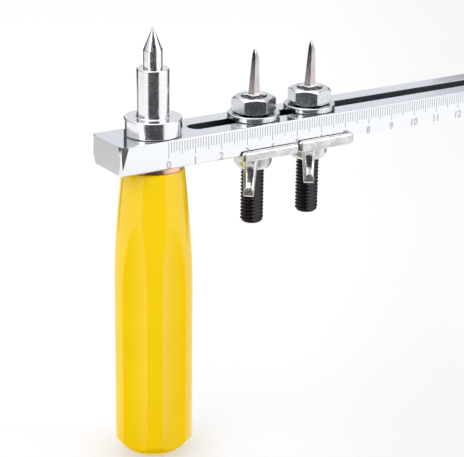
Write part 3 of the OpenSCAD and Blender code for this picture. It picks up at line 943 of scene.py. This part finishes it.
# Felt in front, at both sides and behind leaves dark bands down the turned pieces and the nuts
FELT_CARDS = (
    ("front_cloth", [(0.28, CARD_LIFT), (1.3, CARD_LIFT)], -31, 45),
    ("front_wall", [(0.8, 0.165), (0.8, 0.8)], -31, 45),
    ("right_cloth", [(0.3, CARD_LIFT), (0.65, CARD_LIFT), (0.65, 0.42)], 119, 148),
    ("far_right_cloth", [(0.3, CARD_LIFT), (0.65, CARD_LIFT), (0.65, 0.25)], 148, 165),
    ("left_cloth", [(0.3, CARD_LIFT), (0.65, CARD_LIFT), (0.65, 0.42)], -139, -121),
    ("far_left_cloth", [(0.5, CARD_LIFT), (0.65, CARD_LIFT), (0.65, 0.42)], -165, -139),
    ("side_wall", [(0.64, CARD_LIFT), (0.78, CARD_LIFT), (0.78, 0.3)], -118, -58),
)
# The card near the handle is black in front, and pales between two angles from there, in turns
NEAR_CARD = ("near_card", [(0.01, CARD_LIFT), (0.28, CARD_LIFT)], -100, 100)
PALE_FROM, PALE_TO = 35 / 360, 95 / 360

# Each softbox has its place, its size and its power
SOFTBOXES = (
    ("left_softbox", (-0.9, -0.5, 0.8), 0.9, 6.0),
    ("right_softbox", (0.9, -0.9, 0.7), 0.8, 4.0),
    ("top_softbox", (0.1, 0.3, 1.2), 1.0, 8.0),
)
SOFTBOX_AIM = Vector((0.04, 0, 0.09))


def shown_directly(tree):
    """Two factors: 1 for rays from the camera, a mirror or glass, and 1 for those from a mirror."""
    path = add(tree, "ShaderNodeLightPath")
    mirrored = path.outputs["Is Glossy Ray"]
    opaque = add(tree, "ShaderNodeMath", {"operation": "MAXIMUM"},
                 i0=path.outputs["Is Camera Ray"], i1=mirrored)
    shown = add(tree, "ShaderNodeMath", {"operation": "MAXIMUM"},
                i0=opaque.outputs["Value"], i1=path.outputs["Is Transmission Ray"])
    return shown.outputs["Value"], mirrored


def show(material, surface):
    """Put another surface on a stage material, one that doesn't light the object as a lamp does."""
    tree = material.node_tree
    output = next(node for node in tree.nodes if node.type == "OUTPUT_MATERIAL")
    tree.links.new(surface, output.inputs["Surface"])
    material.cycles.emission_sampling = "NONE"


def pale_floor(foot):
    """White paper: shown nearly white, with the object's shadow kept on it.

    The light on it falls off to the right and towards the camera, whose foot is given. Round the
    handle's foot a painted contact shadow, warmed as by the handle's bounce light, darkens its
    glow.
    """
    material, tree, shader, place = new_material("white_paper")
    shader.inputs["Base Color"].default_value = colour("#f4f4f5")
    shader.inputs["Roughness"].default_value = 0.9
    shown, mirrored = shown_directly(tree)
    share = add(tree, "ShaderNodeMath", {"operation": "MULTIPLY"}, i0=shown, i1=FLOOR_GLOW)
    ahead = add(tree, "ShaderNodeMapping", {"vector_type": "TEXTURE"}, Vector=place, Location=foot,
                Rotation=(0, 0, CAMERA_AZIMUTH + math.pi / 2))
    bearing = add(tree, "ShaderNodeTexGradient", {"gradient_type": "RADIAL"},
                  Vector=ahead.outputs["Vector"])
    aside = add(tree, "ShaderNodeMapRange", {"interpolation_type": "SMOOTHSTEP"},
                Value=bearing.outputs["Fac"], From_Min=ASIDE_FROM, From_Max=ASIDE_TO,
                To_Min=ASIDE_LEVEL, To_Max=1.0)
    reach = add(tree, "ShaderNodeVectorMath", {"operation": "LENGTH"},
                i0=ahead.outputs["Vector"])
    near = add(tree, "ShaderNodeMapRange", {"interpolation_type": "SMOOTHSTEP"},
               Value=reach.outputs["Value"], From_Min=NEAR_FROM, From_Max=NEAR_TO,
               To_Min=NEAR_LEVEL, To_Max=1.0)
    light = add(tree, "ShaderNodeMath", {"operation": "MULTIPLY"}, i0=aside.outputs["Result"],
                i1=near.outputs["Result"])
    level = add(tree, "ShaderNodeMix", i0=mirrored, i2=light.outputs["Value"], i3=FLOOR_MIRRORED)
    # Painted contact shadow round the handle's foot, warmed as by the handle's bounce light
    beside = add(tree, "ShaderNodeVectorMath", {"operation": "LENGTH"}, i0=place)
    clear = add(tree, "ShaderNodeMapRange", {"interpolation_type": "SMOOTHSTEP"},
                Value=beside.outputs["Value"], From_Min=FOOT_SHADOW_FROM, From_Max=FOOT_SHADOW_TO)
    tint = add(tree, "ShaderNodeMix", {"data_type": "RGBA"}, i0=clear.outputs["Result"],
               i6=colour("#f4ece0"), i7=colour("#fefeff"))
    glow = add(tree, "ShaderNodeEmission", Color=tint.outputs[2], Strength=level.outputs[0])
    mixed = add(tree, "ShaderNodeMixShader", i0=share.outputs["Value"],
                i1=shader.outputs["BSDF"], i2=glow.outputs["Emission"])
    show(material, mixed.outputs["Shader"])
    return material


def graded_card():
    """Card that lies near the handle: black in front, paler and paler towards both sides."""
    material, tree, shader, place = new_material("graded_card")
    tree.nodes.remove(shader)
    ahead = add(tree, "ShaderNodeMapping", {"vector_type": "TEXTURE"}, Vector=place,
                Rotation=(0, 0, CAMERA_AZIMUTH - math.pi / 2))
    bearing = add(tree, "ShaderNodeTexGradient", {"gradient_type": "RADIAL"},
                  Vector=ahead.outputs["Vector"])
    off = add(tree, "ShaderNodeMath", {"operation": "SUBTRACT"}, i0=bearing.outputs["Fac"], i1=0.5)
    side = add(tree, "ShaderNodeMath", {"operation": "ABSOLUTE"}, i0=off.outputs["Value"])
    light = add(tree, "ShaderNodeMapRange", Value=side.outputs["Value"], From_Min=PALE_FROM,
                From_Max=PALE_TO, To_Min=0.0, To_Max=FLOOR_MIRRORED)
    glow = add(tree, "ShaderNodeEmission", Color=colour("#ffffff"),
               Strength=light.outputs["Result"])
    show(material, glow.outputs["Emission"])
    return material


def dark_cloth():
    """Black felt: it swallows nearly all the light that falls on it."""
    material, tree, shader, place = new_material("dark_cloth")
    weave = add(tree, "ShaderNodeTexNoise", Vector=place, Scale=1 / (2 * MM), Detail=2.0)
    tint = add(tree, "ShaderNodeValToRGB", i0=weave.outputs["Fac"])
    tint.color_ramp.elements[0].color = colour("#1e1e22")
    tint.color_ramp.elements[1].color = colour("#28282c")
    tree.links.new(tint.outputs["Color"], shader.inputs["Base Color"])
    shader.inputs["Roughness"].default_value = 0.95
    return material


def reflector(material, name, profile, first, last):
    """Sweep one card round the spindle's axis, and let only mirrors show it."""
    card = outline(profile)
    bpy.ops.mesh.select_all(action="SELECT")
    bpy.ops.mesh.spin(steps=CARD_STEPS, angle=-math.radians(last - first), center=(0, 0, 0),
                      axis=(0, 0, 1))
    only(card)
    card.name = name
    card.rotation_euler = (0, 0, CAMERA_AZIMUTH - math.pi / 2 + math.radians(first))
    bpy.ops.object.transform_apply(location=False, rotation=True, scale=False)
    card.data.materials.append(material)
    card.visible_camera = False
    card.visible_diffuse = False
    card.visible_shadow = False


def make_floor():
    """A wide sheet of paper under the tool."""
    begin()
    bpy.ops.mesh.primitive_plane_add(size=FLOOR_SIZE)
    floor = bpy.context.object
    floor.name = "paper_floor"
    eye = bpy.context.scene.camera.location
    floor.data.materials.append(pale_floor((eye.x, eye.y, 0)))


def make_cards():
    """The dark room that the metal mirrors."""
    cloth = dark_cloth()
    for card in FELT_CARDS:
        reflector(cloth, *card)
    reflector(graded_card(), *NEAR_CARD)


def make_world():
    """Soft light all round, shown as white and mirrored as a faintly blue sky."""
    world = bpy.data.worlds.new("studio")
    bpy.context.scene.world = world
    world.use_nodes = True
    tree = world.node_tree
    tree.nodes.clear()
    shown, mirrored = shown_directly(tree)
    level = add(tree, "ShaderNodeMapRange", Value=mirrored, To_Min=1.0, To_Max=WORLD_MIRRORED)
    light = add(tree, "ShaderNodeBackground", Color=colour("#ffffff"), Strength=WORLD_LIGHT)
    sky = add(tree, "ShaderNodeMix", {"data_type": "RGBA"}, i0=mirrored,
              i6=colour("#ffffff"), i7=colour("#f7f9ff"))
    seen = add(tree, "ShaderNodeBackground", Color=sky.outputs[2],
               Strength=level.outputs["Result"])
    mixed = add(tree, "ShaderNodeMixShader", i0=shown, i1=light.outputs["Background"],
                i2=seen.outputs["Background"])
    add(tree, "ShaderNodeOutputWorld", Surface=mixed.outputs["Shader"])


def make_softboxes():
    """Three soft lamps, aimed at the bar."""
    for name, place, size, power in SOFTBOXES:
        begin()
        bpy.ops.object.light_add(type="AREA", location=place)
        lamp = bpy.context.object
        lamp.name = name
        lamp.data.size = size
        lamp.data.energy = power
        aim = SOFTBOX_AIM - Vector(place)
        lamp.rotation_euler = aim.to_track_quat("-Z", "Y").to_euler()


make_camera()
make_floor()
make_cards()
make_world()
make_softboxes()
bpy.context.scene.view_settings.view_transform = "Standard"
